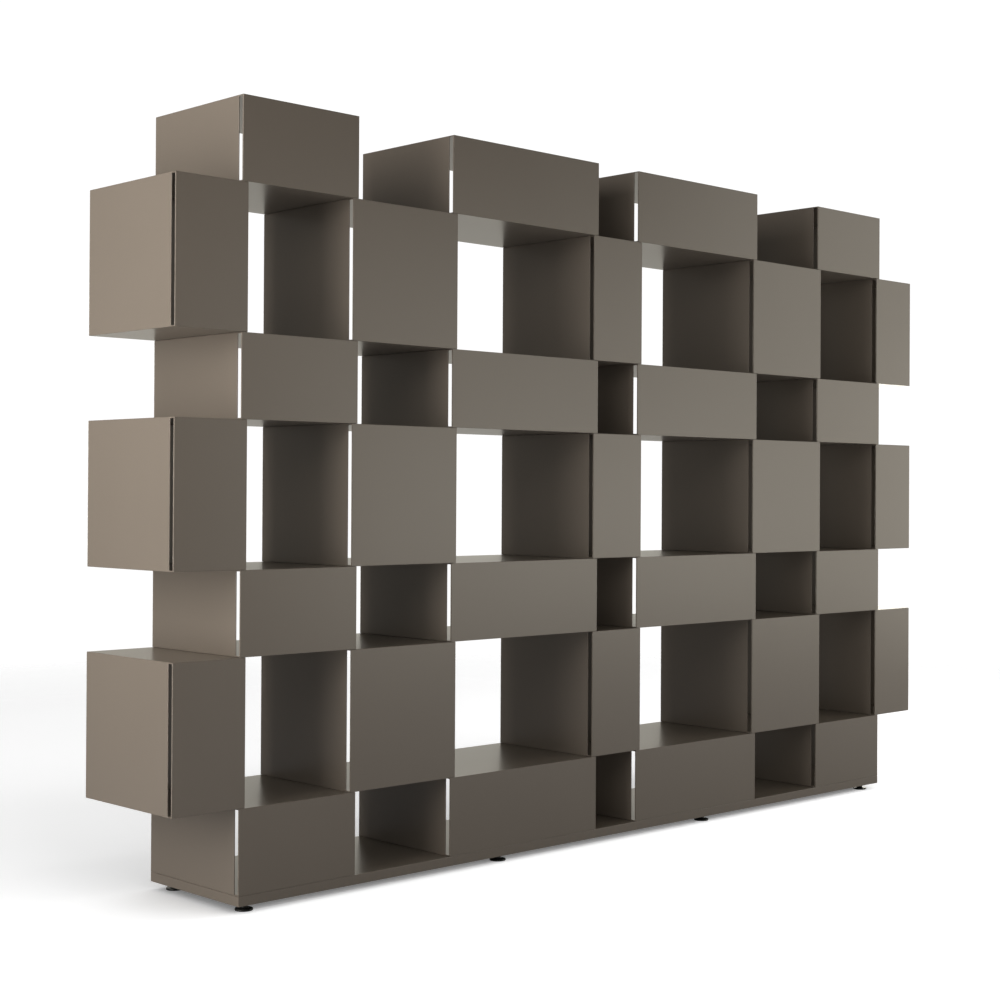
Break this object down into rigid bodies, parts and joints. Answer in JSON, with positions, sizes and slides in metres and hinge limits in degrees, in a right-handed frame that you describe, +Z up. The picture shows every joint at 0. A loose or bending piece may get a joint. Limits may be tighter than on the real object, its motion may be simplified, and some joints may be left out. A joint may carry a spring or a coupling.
{
  "type": "cube storage unit",
  "caption": "Free-standing open bookcase of lacquered metal boxes stacked brick-fashion on a long plinth with screw-adjustable levelling feet.",
  "frame": {"origin": "on the floor, under the middle of the unit's length and depth", "axes": "+X to the right along the length seen from the closed fronts, +Y from the closed fronts to the open backs, +Z up"},
  "size_m": [2.9526, 0.37, 1.9055],
  "materials": {
    "lacquer": "satin taupe lacquer",
    "bare_metal": "mill finish, dull",
    "foot_plastic": "black, slightly glossy",
    "screw_steel": "zinc plated"
  },
  "bodies": {
    "frame": {"box_row1_1": "lacquer", "box_row1_2": "lacquer", "box_row1_3": "lacquer", "box_row1_4": "lacquer", "box_row2_1": "lacquer", "box_row2_2": "lacquer", "box_row2_3": "lacquer", "box_row2_4": "lacquer", "box_row2_5": "lacquer", "box_row3_1": "lacquer", "box_row3_2": "lacquer", "box_row3_3": "lacquer", "box_row3_4": "lacquer", "box_row4_1": "lacquer", "box_row4_2": "lacquer", "box_row4_3": "lacquer", "box_row4_4": "lacquer", "box_row4_5": "lacquer", "box_row5_1": "lacquer", "box_row5_2": "lacquer", "box_row5_3": "lacquer", "box_row5_4": "lacquer", "box_row6_1": "lacquer", "box_row6_2": "lacquer", "box_row6_3": "lacquer", "box_row6_4": "lacquer", "box_row6_5": "lacquer", "box_row7_1": "lacquer", "box_row7_2": "lacquer", "box_row7_3": "lacquer", "box_row7_4": "lacquer", "plinth_tray": "lacquer", "crossbar_1": "bare_metal", "crossbar_2": "bare_metal", "crossbar_3": "bare_metal", "crossbar_4": "bare_metal"},
    "foot_front_1": {"foot_pad_front_1": "foot_plastic", "foot_screw_front_1": "screw_steel"},
    "foot_front_2": {"foot_pad_front_2": "foot_plastic", "foot_screw_front_2": "screw_steel"},
    "foot_front_3": {"foot_pad_front_3": "foot_plastic", "foot_screw_front_3": "screw_steel"},
    "foot_front_4": {"foot_pad_front_4": "foot_plastic", "foot_screw_front_4": "screw_steel"},
    "foot_back_1": {"foot_pad_back_1": "foot_plastic", "foot_screw_back_1": "screw_steel"},
    "foot_back_2": {"foot_pad_back_2": "foot_plastic", "foot_screw_back_2": "screw_steel"},
    "foot_back_3": {"foot_pad_back_3": "foot_plastic", "foot_screw_back_3": "screw_steel"},
    "foot_back_4": {"foot_pad_back_4": "foot_plastic", "foot_screw_back_4": "screw_steel"}
  },
  "joints": [
    {"name": "foot_front_1_height", "type": "slide", "parent": "frame", "child": "foot_front_1", "axis": [0, 0, 1], "range_m": [-0.006, 0.005]},
    {"name": "foot_front_2_height", "type": "slide", "parent": "frame", "child": "foot_front_2", "axis": [0, 0, 1], "range_m": [-0.006, 0.005]},
    {"name": "foot_front_3_height", "type": "slide", "parent": "frame", "child": "foot_front_3", "axis": [0, 0, 1], "range_m": [-0.006, 0.005]},
    {"name": "foot_front_4_height", "type": "slide", "parent": "frame", "child": "foot_front_4", "axis": [0, 0, 1], "range_m": [-0.006, 0.005]},
    {"name": "foot_back_1_height", "type": "slide", "parent": "frame", "child": "foot_back_1", "axis": [0, 0, 1], "range_m": [-0.006, 0.005]},
    {"name": "foot_back_2_height", "type": "slide", "parent": "frame", "child": "foot_back_2", "axis": [0, 0, 1], "range_m": [-0.006, 0.005]},
    {"name": "foot_back_3_height", "type": "slide", "parent": "frame", "child": "foot_back_3", "axis": [0, 0, 1], "range_m": [-0.006, 0.005]},
    {"name": "foot_back_4_height", "type": "slide", "parent": "frame", "child": "foot_back_4", "axis": [0, 0, 1], "range_m": [-0.006, 0.005]}
  ]
}
